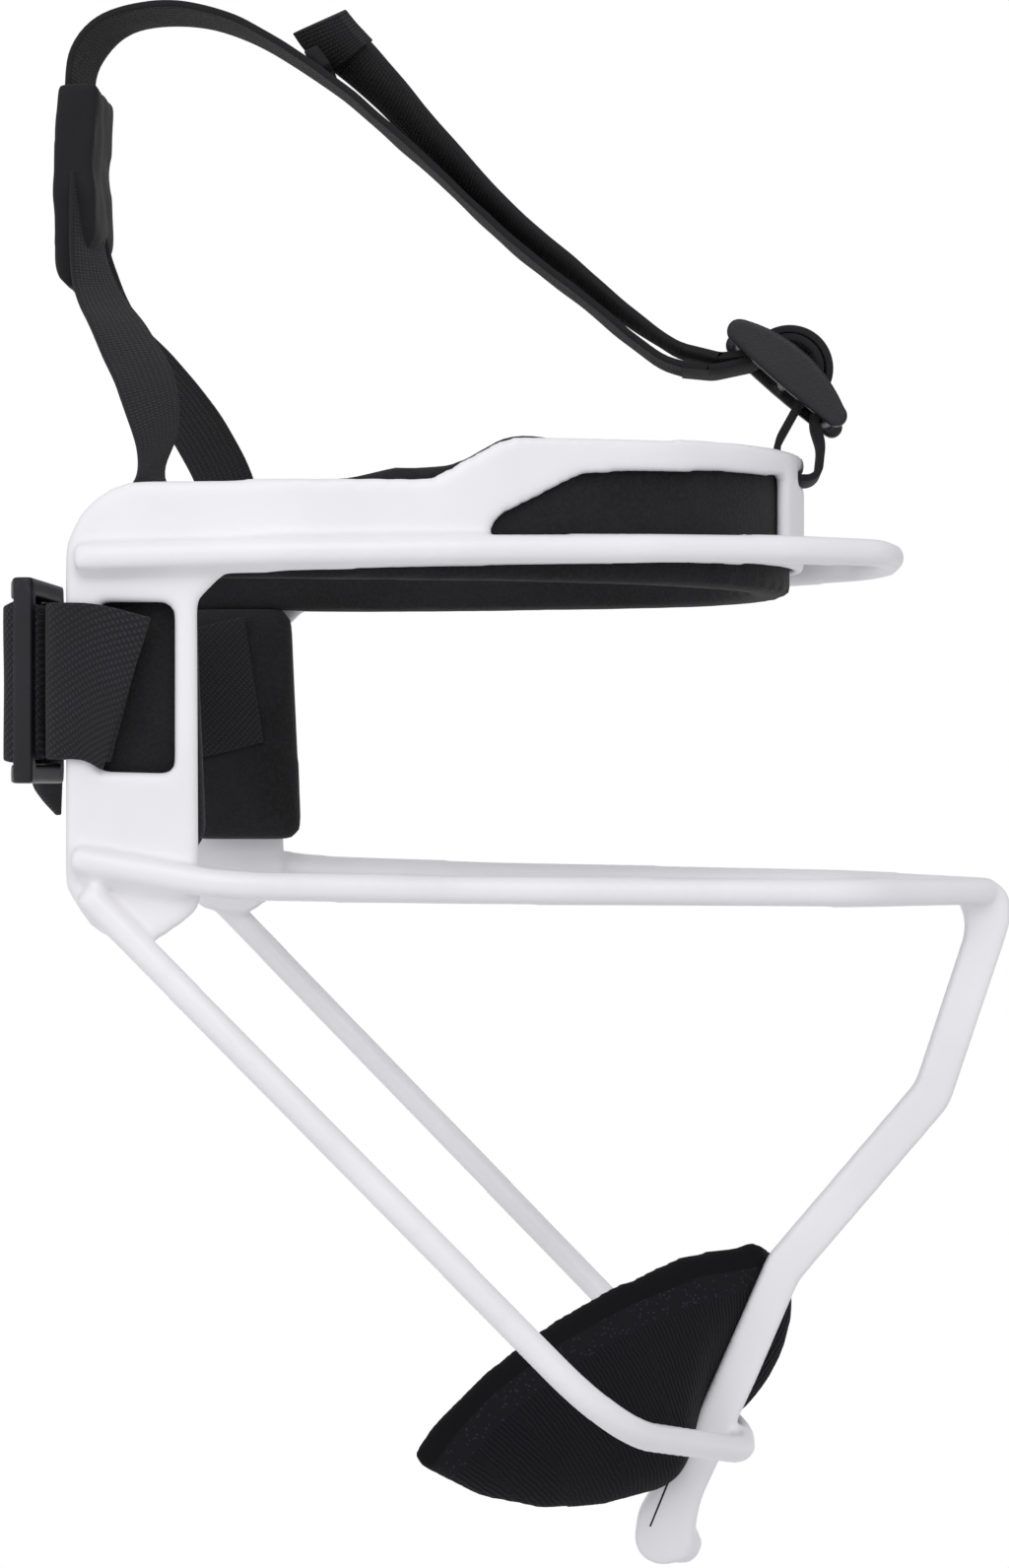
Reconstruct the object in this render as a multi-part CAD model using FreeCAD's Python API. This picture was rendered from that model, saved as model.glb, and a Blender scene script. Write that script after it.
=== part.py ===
import FreeCAD, Part
import math
import os

# Softball fielder's face guard: a bent sheet brow band with two side plates,
# a cage of round wire with one flat centre bar, pads, and a strap harness.
# Millimetres, +X to the front, +Y to the wearer's left, +Z up.
# The origin is the middle of the line through the two strap windows.

V = FreeCAD.Vector

# Driving sizes
WIRE_R = 2.9            # radius of the coated cage wire
SHEET = 2.5             # thickness of the band and the plates
HALF_WIDTH = 74.5       # outer face of a plate from the mid plane
BAND_FRONT = 139.0      # outer face of the band at the mid plane
NOSE_R = 62.0           # radius of the band round the forehead
REAR_X = -14.2          # rear edge of the band and the plates
BAND_BASE = 24.3        # height where the band meets the plates
WEB = 1.5               # thickness of the top webbing
WEB_HALF = 10.0         # half width of the top webbing
ELASTIC = 1.6           # thickness of the rear elastic
ELASTIC_LOW = -13.9     # lower edge of the rear elastic
ELASTIC_HIGH = 18.1     # upper edge of the rear elastic
PAD = 9.5               # thickness of the forehead pad


def save(shape, node):
    """Write one solid piece as a STEP file."""
    shape.exportStep("parts/" + node + ".step")


def corner_path(points, radii):
    """Straight runs between the points, with a tangent arc at each inner corner."""
    edges = []
    start = points[0]
    for i in range(1, len(points) - 1):
        corner = points[i]
        back = (points[i - 1] - corner).normalize()
        ahead = (points[i + 1] - corner).normalize()
        half = back.getAngle(ahead) / 2
        reach = radii[i - 1] / math.tan(half)
        first = corner + back * reach
        last = corner + ahead * reach
        bisector = (back + ahead).normalize()
        centre = corner + bisector * (radii[i - 1] / math.sin(half))
        middle = centre - bisector * radii[i - 1]
        if (first - start).Length > 0.01:
            edges.append(Part.LineSegment(start, first).toShape())
        edges.append(Part.Arc(first, middle, last).toShape())
        start = last
    edges.append(Part.LineSegment(start, points[-1]).toShape())
    return Part.Wire(edges)


def rod(points, radii, radius):
    """Round wire bent along a path of points."""
    path = corner_path(points, radii)
    direction = points[1] - points[0]
    ring = Part.Wire(Part.makeCircle(radius, points[0], direction))
    return path.makePipeShell([ring], True, False)


def ribbon(points, radii, thickness, side, half):
    """Flat strap bent along a plane path; side is the direction of its width."""
    path = corner_path(points, radii)
    normal = (points[1] - points[0]).normalize().cross(side)
    w = side * half
    n = normal * (thickness / 2)
    p = points[0]
    ring = Part.makePolygon([p + w + n, p - w + n, p - w - n, p + w - n, p + w + n])
    return path.makePipeShell([ring], True, False)


def both(points):
    """A half path on the left side, carried on by its mirror on the right."""
    return points + [V(p.x, -p.y, p.z) for p in reversed(points)]


def mirror(shape):
    """The same piece on the other side of the mid plane."""
    return shape.mirror(V(0, 0, 0), V(0, 1, 0))


def plan_curve(inset, x_rear):
    """Half width curve of the band in plan, moved inward by the inset."""
    nose = NOSE_R - inset
    reach = BAND_FRONT - NOSE_R - 20
    side_r = (reach ** 2 + HALF_WIDTH ** 2 - NOSE_R ** 2) / (2 * (HALF_WIDTH - NOSE_R))
    low = HALF_WIDTH - side_r
    length = math.hypot(reach, low)
    ux = reach / length
    uy = -low / length
    centre = BAND_FRONT - NOSE_R
    joint = V(centre + nose * ux, nose * uy, 0)
    turn = math.atan2(ux, uy) / 2
    bow = side_r - inset
    middle = V(20 + bow * math.sin(turn), low + bow * math.cos(turn), 0)
    corner = V(20, HALF_WIDTH - inset, 0)
    half = math.atan2(uy, ux) / 2
    cheek = V(centre + nose * math.cos(half), nose * math.sin(half), 0)
    front = V(BAND_FRONT - inset, 0, 0)
    return [
        Part.LineSegment(V(x_rear, HALF_WIDTH - inset, 0), corner).toShape(),
        Part.Arc(corner, middle, joint).toShape(),
        Part.Arc(joint, cheek, front).toShape(),
    ]


def plan_ring(outer, inner, x_rear, low, high):
    """Upright horseshoe wall between two insets of the band's plan."""
    far = plan_curve(outer, x_rear)
    near = plan_curve(inner, x_rear)
    a = V(x_rear, HALF_WIDTH - outer, 0)
    b = V(x_rear, HALF_WIDTH - inner, 0)
    edges = far + [Part.LineSegment(a, b).toShape()] + near
    front = Part.LineSegment(V(BAND_FRONT - outer, 0, 0), V(BAND_FRONT - inner, 0, 0))
    half = Part.Face(Part.Wire(Part.__sortEdges__(edges + [front.toShape()])))
    half = half.extrude(V(0, 0, high - low))
    half.translate(V(0, 0, low))
    return half.fuse(mirror(half)).removeSplitter()


def side_prism(points, radii, y_from, y_to):
    """Side outline with rounded corners, pushed across from one Y to another."""
    closed = [V(p[0], y_from, p[1]) for p in points]
    first = (closed[0] + closed[-1]) * 0.5
    path = corner_path([first] + closed + [first], radii)
    return Part.Face(path).extrude(V(0, y_to - y_from, 0))


def band_outline():
    """Side outline of the brow band: round rear, flat top, step up to the front."""
    points = [(REAR_X, BAND_BASE), (REAR_X, 43.0), (60.5, 43.4), (76.0, 52.3),
              (145.0, 53.9), (145.0, 28.6), (18.6, BAND_BASE)]
    return side_prism(points, [0.2, 17.0, 9.0, 12.0, 0.5, 0.5, 0.5], -90, 90)


def front_window(sign):
    """Opening in the band front, with a slanted rear corner over the brow."""
    points = [(72.6, 31.0), (72.6, 35.5), (91.5, 45.6), (136.0, 48.0), (136.0, 31.0)]
    hole = side_prism(points, [0.8, 5.0, 7.0, 2.0, 0.8], 0, sign * 90)
    post = Part.makeBox(40, 44, 60, V(110, -22, 0))
    return hole.cut(post)


def brow_band():
    wall = plan_ring(0, SHEET, REAR_X, 20, 60).common(band_outline())
    for sign in (-1, 1):
        wall = wall.cut(front_window(sign))
    slot = Part.makeBox(14, 26, 3.0, V(130, -13, 47.3))
    rivet_hole = Part.makeCylinder(2.1, 200, V(7.9, -100, 36.9), V(0, 1, 0))
    return wall.cut(slot).cut(rivet_hole)


def side_plate():
    points = [(REAR_X, BAND_BASE), (18.6, BAND_BASE), (12.7, 18.3), (13.3, -36.0),
              (13.6, -44.5), (4.0, -51.5), (-8.0, -49.5), (REAR_X, -40.0)]
    radii = [0.2, 0.5, 3.0, 1.0, 4.5, 7.0, 8.0, 3.0]
    plate = side_prism(points, radii, HALF_WIDTH - SHEET, HALF_WIDTH)
    window = [(-7.5, 18.1), (8.2, 18.1), (8.2, -17.0), (-7.5, -16.3)]
    hole = side_prism(window, [1.6] * 4, HALF_WIDTH - 10, HALF_WIDTH + 10)
    return plate.cut(hole)


def visor_wire():
    """Round wire along the band's lower edge, with its nose ahead of the band."""
    side = HALF_WIDTH + WIRE_R - 0.2
    half = [V(-11.5, side, 27.2), V(26.0, side, 28.2), V(68.0, 71.4, 29.0),
            V(107.0, 58.0, 30.0), V(134.0, 44.0, 30.6), V(154.5, 25.5, 31.0),
            V(158.0, 10.0, 31.0)]
    return rod(both(half), [90, 120, 70, 30, 14, 9, 9, 14, 30, 70, 120, 90], WIRE_R)


def cheek_wire():
    """Round wire from plate to plate round the front at mouth height."""
    side = HALF_WIDTH + WIRE_R - 0.2
    half = [V(-12.0, side, -34.3), V(19.0, side, -39.7), V(66.0, 60.0, -41.0),
            V(150.0, 39.0, -42.2)]
    nose = [V(182.6, 0, -43.0)]
    path = half + nose + [V(p.x, -p.y, p.z) for p in reversed(half)]
    return rod(path, [40, 60, 22, 10.5, 22, 60, 40], WIRE_R)


def jaw_wire():
    """Round wire from plate to plate, straight down to the chin and round it."""
    side = HALF_WIDTH + WIRE_R - 0.2
    half = [V(-9.5, side, -41.0), V(99.0, 71.5, -151.3), V(125.2, 10.0, -166.5)]
    return rod(both(half), [30, 30, 30, 30], WIRE_R)


def bar_side_outline():
    """Side outline of the flat centre bar, from the nose of the cheek wire down."""
    points = [(172.0, -41.6), (184.6, -40.2), (184.8, -50.0), (171.3, -90.6),
              (137.8, -130.0), (128.2, -152.5), (115.8, -179.5), (113.3, -193.6),
              (101.0, -193.6), (102.2, -182.0), (112.6, -167.0), (131.3, -125.0),
              (164.4, -85.9), (176.2, -50.0)]
    radii = [0.5, 5.0, 14.0, 12.0, 12.0, 20.0, 20.0, 5.5,
             5.5, 12.0, 14.0, 12.0, 8.0, 10.0]
    return points, radii


def centre_bar():
    """Flat bar on edge, with a lengthwise slot for the chin pad strap."""
    points, radii = bar_side_outline()
    bar = side_prism(points, radii, -3.0, 3.0)
    slot = [(111.6, -169.4), (105.1, -185.6), (104.3, -185.3), (110.9, -169.1)]
    bar = bar.cut(side_prism(slot, [0.2, 0.2, 0.2, 0.2], -5, 5))
    tips = [e for e in bar.Edges if abs(abs(e.CenterOfMass.y) - 3.0) < 0.01
            and e.CenterOfMass.x > 116.0 and e.Length > 3.0]
    try:
        bar = bar.makeFillet(1.3, tips)
    except Exception:
        pass
    return bar


def bar_end_knob():
    return Part.makeSphere(4.4, V(111.8, 1.7, -189.8))


def weld_bead(points, radius):
    """Short rounded weld along a line between two pieces."""
    return rod(points, [], radius)


def harness_rivet():
    """Rivet through the band that holds a crown elastic."""
    head = Part.makeCylinder(2.5, 0.5, V(7.9, HALF_WIDTH, 36.9), V(0, 1, 0))
    head = head.makeFillet(0.3, [e for e in head.Edges if e.CenterOfMass.y > HALF_WIDTH + 0.4])
    shank = Part.makeCylinder(2.0, 5.4, V(7.9, HALF_WIDTH - 5.4, 36.9), V(0, 1, 0))
    washer = Part.makeCylinder(4.0, 0.8, V(7.9, HALF_WIDTH - 5.4, 36.9), V(0, 1, 0))
    return head.fuse(shank).fuse(washer).removeSplitter()


def forehead_pad():
    """Cushion inside the band; its upper edge runs ahead of the band's step."""
    wall = plan_ring(SHEET + 0.3, SHEET + 0.3 + PAD, -10.0, 20, 60)
    outline = [(-11.0, 23.2), (-11.0, 37.0), (17.0, 38.0), (24.0, 43.0), (64.5, 45.4),
               (76.0, 51.8), (145.0, 52.2), (145.0, 22.5)]
    pad = wall.common(side_prism(outline, [0.5, 4.0, 3.0, 3.0, 6.0, 8.0, 0.5, 0.5], -90, 90))
    for sign in (-1, 1):
        pad = pad.cut(Part.makeBox(29, 10, 40, V(-12, sign * 73.8 - 5, 15)))
    notch = Part.makeBox(30, 30, 20, V(120, -15, 44.0))
    return pad.cut(notch)


def side_pad(front, rear):
    """Crowned cushion inside a plate."""
    low = 60.0
    high = 69.8
    layers = []
    for y, inset in ((high, 1.6), (high - 2.4, 0.0), (low + 2.8, 0.0), (low, 3.2)):
        corner = [V(rear + inset, y, 22.8 - inset), V(front - inset, y, 22.8 - inset),
                  V(front + 2.6 - inset, y, -32.8 + inset), V(rear + inset, y, -32.8 + inset)]
        first = (corner[0] + corner[3]) * 0.5
        layers.append(corner_path([first] + corner + [first], [4.0] * 4))
    return Part.makeLoft(layers, True, True)


def chin_section(upper, lower, out, crown, thick, rim):
    """Lens across the chin pad between its upper and lower rims, crowned outward."""
    out = V(out.x, out.y, out.z).normalize()
    middle = (upper + lower) * 0.5 + out * crown
    edges = [Part.Arc(upper, middle, lower).toShape(),
             Part.LineSegment(lower, lower - out * rim).toShape(),
             Part.Arc(lower - out * rim, middle - out * thick, upper - out * rim).toShape(),
             Part.LineSegment(upper - out * rim, upper).toShape()]
    return Part.Wire(edges)


def chin_pad():
    """Leaf-shaped soft pad: near wing back to its tip, far wing bowed ahead of the bar."""
    cuts = [
        (V(55.3, -40.0, -162.2), V(55.6, -40.0, -164.4), V(0.40, -0.91, 0), 0.6, 2.6, 2.2),
        (V(60.4, -38.0, -156.0), V(59.9, -37.0, -166.8), V(0.42, -0.90, 0), 2.6, 6.0, 3.0),
        (V(69.4, -34.0, -147.2), V(68.9, -32.0, -172.6), V(0.45, -0.88, -0.1), 6.0, 8.0, 3.0),
        (V(82.6, -27.0, -137.8), V(82.3, -25.0, -176.8), V(0.50, -0.85, -0.2), 8.0, 9.0, 3.0),
        (V(97.9, -18.0, -130.2), V(94.5, -16.0, -177.6), V(0.58, -0.78, -0.25), 8.0, 9.0, 3.0),
        (V(114.4, -9.0, -124.2), V(103.8, -8.0, -174.6), V(0.75, -0.60, -0.3), 5.5, 9.0, 3.0),
        (V(130.5, 0.0, -122.6), V(108.6, 0.0, -168.6), V(0.91, 0, -0.41), 0.8, 9.0, 3.0),
        (V(134.5, 13.0, -127.5), V(121.6, 13.0, -159.2), V(0.95, 0.1, -0.3), 7.6, 9.0, 3.0),
        (V(131.0, 25.0, -130.5), V(118.0, 25.0, -157.6), V(0.85, 0.5, -0.2), 7.0, 9.0, 3.0),
        (V(119.0, 36.0, -137.0), V(108.0, 36.0, -158.0), V(0.5, 0.86, 0), 5.0, 7.0, 3.0),
        (V(103.0, 43.0, -147.0), V(97.0, 43.0, -162.0), V(0.35, 0.93, 0), 3.0, 5.4, 3.0),
        (V(88.0, 46.0, -155.0), V(86.0, 46.0, -160.0), V(0.3, 0.95, 0), 0.6, 3.0, 2.2),
    ]
    return Part.makeLoft([chin_section(*c) for c in cuts], True, True)


def chin_strap():
    """Webbing of the chin pad: through the bar's slot and up its far face to the pad."""
    tongue = [(111.3, -169.7), (105.0, -185.2), (104.6, -185.1), (110.9, -169.5)]
    tab = [(113.5, -164.0), (103.0, -186.0), (108.6, -187.0), (117.5, -164.5)]
    run = side_prism(tab, [1.0] * 4, 3.1, 4.5)
    return run.fuse(side_prism(tongue, [0.1] * 4, -2.6, 3.2)).removeSplitter()


def slider_point(u, w):
    """Point in the top slider's own frame: u along it toward the face, w outward."""
    return V(135.0 + 0.748 * u + 0.664 * w, 0, 71.6 - 0.664 * u + 0.748 * w)


def top_slider():
    """Tri-glide: two almond rails joined by two end bars and a centre bar."""
    shape = None
    spots = [(-15.4, 2.4), (-1.0, 6.0), (14.6, 2.6), (16.9, 0.2), (14.8, -2.2), (1.0, -2.9),
             (-13.4, -2.6), (-16.7, -0.3)]
    for y in (WEB_HALF + 0.6, -WEB_HALF - 3.6):
        p = [slider_point(u, w) + V(0, y, 0) for u, w in spots]
        p.append(p[0])
        loop = Part.Wire([Part.Arc(p[i], p[i + 1], p[i + 2]).toShape() for i in (0, 2, 4, 6)])
        rail = Part.Face(loop).extrude(V(0, 3.0, 0))
        shape = rail if shape is None else shape.fuse(rail)
    for u, r in ((-12.8, 1.5), (0.0, 1.7), (12.9, 1.5)):
        foot = slider_point(u, 0) + V(0, -WEB_HALF - 1.0, 0)
        shape = shape.fuse(Part.makeCylinder(r, 2 * WEB_HALF + 2, foot, V(0, 1, 0)))
    return shape.removeSplitter()


def webbing_bight():
    """The webbing through the slider and the band slot, one run in and one back."""
    points = [
        V(112.0, 0, 74.0), V(119.0, 0, 73.3), slider_point(-7.3, -1.6),
        slider_point(-7.3, 8.4), slider_point(7.3, 8.4), slider_point(5.9, -1.5),
        V(133.2, 0, 57.2), V(132.6, 0, 48.8), V(142.2, 0, 48.8),
        V(143.0, 0, 56.5), slider_point(8.4, -1.5), slider_point(9.3, 10.4),
        slider_point(-9.3, 10.4), slider_point(-9.3, -1.6), V(120.5, 0, 75.9), V(112.6, 0, 77.9),
    ]
    radii = [8.0, 4.0, 6.6, 6.6, 4.0, 8.0, 3.0, 3.0, 8.0, 8.0, 9.0, 9.0, 3.0, 6.0]
    return ribbon(points, radii, WEB, V(0, 1, 0), WEB_HALF)


def top_strap():
    """Webbing from the crown over the head to the top slider."""
    points = [V(-22.6, 0, 100.0), V(-25.0, 0, 145.0), V(-9.0, 0, 157.6), V(12.0, 0, 155.6),
              V(47.0, 0, 124.9), V(76.0, 0, 97.6), V(102.0, 0, 76.2), V(111.7, 0, 74.06)]
    return ribbon(points, [18.0, 20.0, 24.0, 80.0, 120.0, 14.0], WEB, V(0, 1, 0), WEB_HALF)


def twisted(rows, thickness):
    """Flat strap through rows of a centre and a half width vector."""
    wires = []
    for i in range(len(rows)):
        before = rows[max(i - 1, 0)][0]
        after = rows[min(i + 1, len(rows) - 1)][0]
        c, h = rows[i]
        n = (after - before).cross(h).normalize() * (thickness / 2)
        wires.append(Part.makePolygon([c + h + n, c - h + n, c - h - n, c + h - n, c + h + n]))
    return Part.makeLoft(wires, True, True)


def strap_return():
    """Free run of the same webbing, rolled toward its sewn end."""
    rows = [(V(35.6, 0, 147.2), V(4.6, -8.3, 2.6)), (V(43.8, 0, 139.3), V(2.6, -9.4, 2.1)),
            (V(53.0, 0, 128.9), V(2.2, -9.6, 1.8)), (V(62.4, 0, 118.7), V(1.8, -9.7, 1.6)),
            (V(74.1, 0, 107.0), V(1.3, -9.8, 1.2)), (V(87.9, 0, 95.9), V(0.8, -9.9, 0.8)),
            (V(100.6, 0, 85.5), V(0.3, -10.0, 0.3)), (V(106.8, 0, 81.2), V(0, -10.0, 0)),
            (V(112.3, 0, 78.1), V(0, -10.0, 0))]
    return twisted(rows, WEB)


def strap_keeper():
    """Small sewn bridge that holds the return run down on the strap."""
    outline = [(27.4, 144.8), (30.4, 146.2), (33.4, 142.2), (30.4, 140.4)]
    return side_prism(outline, [0.4] * 4, -WEB_HALF + 2, WEB_HALF - 2)


def strap_tab():
    """Folded and sewn end of the webbing, double thick."""
    rows = [(V(30.4, 0, 151.4), V(5.0, -8.4, 1.9)), (V(33.0, 0, 149.2), V(5.0, -8.4, 2.0)),
            (V(35.4, 0, 147.4), V(4.6, -8.5, 2.4))]
    return twisted(rows, 3.2)


def near_elastic():
    """Elastic from the inside of the band on the right, twisting up to the crown."""
    rows = [(V(2.0, -70.9, 31.0), V(9.0, 0, 0)), (V(2.0, -70.6, 38.4), V(8.0, 0.4, 0)),
            (V(1.6, -65.0, 43.0), V(3.2, 5.4, 1.4)), (V(1.9, -54.0, 53.0), V(3.1, 7.4, 3.4)),
            (V(-2.6, -42.0, 66.6), V(4.8, 7.4, 2.1)), (V(-10.2, -29.0, 79.6), V(4.5, 8.0, 1.5)),
            (V(-18.8, -14.0, 93.0), V(3.0, 8.6, 1.0)), (V(-23.6, -3.4, 118.0), V(0.4, 9.0, 0))]
    return twisted(rows, 1.2)


def far_elastic():
    """The left elastic lies flatter, so it shows nearly its full width."""
    rows = [(V(2.0, 70.9, 31.0), V(9.0, 0, 0)), (V(1.6, 70.6, 39.0), V(8.6, -0.4, 0.4)),
            (V(0.0, 66.6, 53.5), V(6.9, -4.6, 2.4)), (V(-4.4, 59.0, 64.3), V(6.2, -5.4, 3.2)),
            (V(-12.4, 45.0, 77.3), V(5.2, -6.6, 3.2)), (V(-18.6, 29.0, 87.0), V(4.0, -7.8, 2.0)),
            (V(-20.2, 14.0, 98.0), V(2.4, -8.6, 1.0)), (V(-22.0, 3.4, 118.0), V(0.4, -9.0, 0))]
    return twisted(rows, 1.2)


def crown_sleeve():
    """Sewn sleeve that holds the two elastics and the end of the top strap."""
    points = [(-27.6, 94.5), (-24.5, 91.0), (-18.4, 104.0), (-19.2, 121.0), (-18.2, 137.4),
              (-27.4, 137.4), (-28.6, 112.0)]
    return side_prism(points, [0.8, 0.8, 9.0, 20.0, 0.8, 0.8, 20.0], -12.4, 12.4)


def rear_strap():
    """Elastic round the back of the head, over both plates and into the windows."""
    mid = (ELASTIC_LOW + ELASTIC_HIGH) / 2
    half = (ELASTIC_HIGH - ELASTIC_LOW) / 2
    y = HALF_WIDTH + 0.4 + ELASTIC / 2
    x = -17.9
    path = [V(-11.0, -y, mid), V(x, -y, mid), V(x, y, mid), V(-11.0, y, mid)]
    run = ribbon(path, [5.0, 5.0], ELASTIC, V(0, 0, 1), half)
    quad = [(-11.0, ELASTIC_LOW), (-11.0, ELASTIC_HIGH), (5.2, 14.6), (-4.2, -16.2)]
    for sign in (-1, 1):
        low = sign * (y - ELASTIC / 2)
        run = run.fuse(side_prism(quad, [0.3] * 4, low, low + sign * ELASTIC))
    return run.removeSplitter()


def strap_tab_inside():
    """Sewn end of the rear elastic, through the window and flat in the plate."""
    y = HALF_WIDTH - SHEET - 0.3
    flat = side_prism([(-12.0, -14.0), (-12.0, 13.4), (2.6, 13.4), (-5.6, -14.0)],
                      [1.0] * 4, y - ELASTIC, y)
    throat = [(-1.0, 12.4), (4.2, 12.4), (-4.2, -14.6), (-6.9, -14.6)]
    neck = side_prism(throat, [0.4] * 4, y - 0.8, HALF_WIDTH + 0.4)
    return flat.fuse(neck).removeSplitter()


def rear_tail():
    """Elastic sewn round the slider's middle bar, with the loose end that hangs below."""
    path = [V(-20.1, -74.0, 0), V(-20.1, -66.6, 0), V(-29.6, -59.0, 0), V(-29.6, -50.4, 0),
            V(-20.1, -43.2, 0), V(-20.1, -33.6, 0), V(-26.6, -20.0, 0), V(-27.4, 3.0, 0)]
    run = ribbon(path, [1.6, 2.4, 2.4, 1.6, 4.0, 20.0], ELASTIC, V(0, 0, 1), 40)
    low = ELASTIC_LOW - 0.2
    top = ELASTIC_HIGH + 0.2
    edge = [V(-40, -80, low), V(-40, -40, low - 3.0), V(-40, -6, low - 13.0), V(-40, 2, low + 9.0),
            V(-40, -20, top), V(-40, -80, top), V(-40, -80, low)]
    cutter = Part.Face(Part.makePolygon(edge)).extrude(V(30, 0, 0))
    return run.common(cutter).removeSplitter()


def rear_slider():
    """Three-bar strap slider that sets the length of the rear elastic."""
    frame = None
    outline = [(-21.2, -72.6), (-25.3, -72.6), (-28.4, -59.0), (-28.4, -50.0),
               (-25.3, -36.0), (-21.2, -36.0)]
    for z in (ELASTIC_HIGH + 1.6, -18.9):
        closed = [V(p[0], p[1], z) for p in outline]
        first = (closed[0] + closed[-1]) * 0.5
        path = corner_path([first] + closed + [first], [1.2, 1.2, 4.0, 4.0, 1.2, 1.2])
        rail = Part.Face(path).extrude(V(0, 0, 3.9))
        frame = rail if frame is None else frame.fuse(rail)
    tall = ELASTIC_HIGH + 3.0 + 17.0
    for x, y, wide, deep in ((-25.3, -72.6, 4.1, 4.0), (-25.3, -40.0, 4.1, 4.0),
                             (-28.3, -56.6, 2.0, 4.0)):
        frame = frame.fuse(Part.makeBox(wide, deep, tall, V(x, y, -17.0)))
    return frame.removeSplitter()


def main():
    os.makedirs("parts", exist_ok=True)
    visor = visor_wire()
    cheek = cheek_wire()
    jaw = jaw_wire()
    band = brow_band()
    plate = side_plate()
    bar = centre_bar()
    band = band.cut(visor)
    plate = plate.cut(visor).cut(cheek).cut(jaw)
    jaw = jaw.cut(cheek)
    bar = bar.cut(cheek).cut(jaw)
    knob = bar_end_knob().cut(bar)
    save(band, "brow_band")
    save(plate, "left_side_plate")
    save(mirror(plate), "right_side_plate")
    save(visor, "visor_wire")
    save(cheek, "cheek_wire")
    save(jaw, "jaw_wire")
    save(bar, "centre_bar")
    save(knob, "bar_end_knob")

    side = HALF_WIDTH + 1.2
    solid = (visor, cheek, jaw, plate, band)
    beads = {
        "cheek_weld": [V(-10.0, side, -37.4), V(11.0, side, -41.6)],
        "jaw_weld": [V(-7.5, side, -45.6), V(-1.6, side, -51.2)],
        "visor_weld": [V(-11.0, side, 24.6), V(30.0, side - 0.4, 25.4)],
    }
    for name, points in beads.items():
        bead = weld_bead(points, 1.1)
        for piece in solid:
            bead = bead.cut(piece)
        bead = max(bead.Solids, key=lambda s: s.Volume)
        save(bead, "left_" + name)
        save(mirror(bead), "right_" + name)

    rivet = harness_rivet()
    save(rivet, "left_rivet")
    save(mirror(rivet), "right_rivet")

    right = near_elastic().cut(mirror(rivet)).cut(band)
    left = far_elastic().cut(rivet).cut(band)
    pad = forehead_pad()
    save(pad, "forehead_pad")
    save(side_pad(16.3, -10.5), "left_side_pad")
    save(mirror(side_pad(11.5, -12.5)), "right_side_pad")

    chin = chin_pad().cut(jaw).cut(bar)
    chin = max(chin.Solids, key=lambda s: s.Volume)
    webbing = chin_strap().cut(bar).cut(jaw).cut(chin)
    webbing = max(webbing.Solids, key=lambda s: s.Volume)
    save(chin, "chin_pad")
    save(webbing, "chin_pad_strap")

    strap = rear_strap()
    tab = strap_tab_inside().cut(strap).cut(plate)
    save(strap, "rear_strap")
    save(tab, "left_strap_tab")
    save(mirror(tab), "right_strap_tab")
    save(rear_tail().cut(rear_slider()), "rear_strap_tail")
    save(rear_slider(), "rear_slider")

    run = top_strap()
    left = left.cut(right).cut(run)
    save(right.cut(run), "right_crown_elastic")
    save(left, "left_crown_elastic")
    sleeve = crown_sleeve().cut(run).cut(right).cut(left)
    save(sleeve, "crown_sleeve")
    save(run, "top_strap")
    ret = strap_return()
    save(ret, "top_strap_return")
    tab = strap_tab().cut(ret)
    save(tab, "top_strap_tab")
    save(strap_keeper().cut(run).cut(tab).cut(ret), "strap_keeper")
    save(webbing_bight(), "webbing_bight")
    save(top_slider(), "top_slider")


main()
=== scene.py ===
"""Softball fielder's face guard: finishes, cushions, elastic and webbing over the CAD frame."""
import math

import bpy
from mathutils import Matrix, Vector, noise


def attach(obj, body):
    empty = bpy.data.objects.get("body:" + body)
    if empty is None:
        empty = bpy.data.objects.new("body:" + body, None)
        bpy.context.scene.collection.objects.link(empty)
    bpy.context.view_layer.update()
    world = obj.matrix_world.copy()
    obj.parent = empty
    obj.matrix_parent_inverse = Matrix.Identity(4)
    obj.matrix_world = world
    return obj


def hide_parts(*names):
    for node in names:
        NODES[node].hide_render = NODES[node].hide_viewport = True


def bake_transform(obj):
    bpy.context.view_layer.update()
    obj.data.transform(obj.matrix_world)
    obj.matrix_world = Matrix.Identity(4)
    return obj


bl_info = {
    "name": "Fielder Face Guard",
    "version": (1, 0, 0),
    "blender": (4, 5, 0),
    "location": "View3D > Sidebar > Face Guard",
    "description": "Builds a wire face guard with its pads and strap harness",
    "category": "Object",
}

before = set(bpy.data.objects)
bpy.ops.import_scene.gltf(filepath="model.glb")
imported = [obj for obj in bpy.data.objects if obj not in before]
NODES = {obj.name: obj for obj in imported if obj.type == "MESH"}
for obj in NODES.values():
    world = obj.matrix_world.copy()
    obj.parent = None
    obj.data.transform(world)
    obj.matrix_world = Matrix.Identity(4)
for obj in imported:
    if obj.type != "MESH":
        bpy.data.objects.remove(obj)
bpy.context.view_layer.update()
MM = 0.001


# Small tools

def linear(hex_colour):
    """sRGB hex to the linear colour that a shader takes."""
    values = []
    for i in (0, 2, 4):
        c = int(hex_colour[i:i + 2], 16) / 255
        values.append(c / 12.92 if c <= 0.04045 else ((c + 0.055) / 1.055) ** 2.4)
    return (*values, 1.0)


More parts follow.
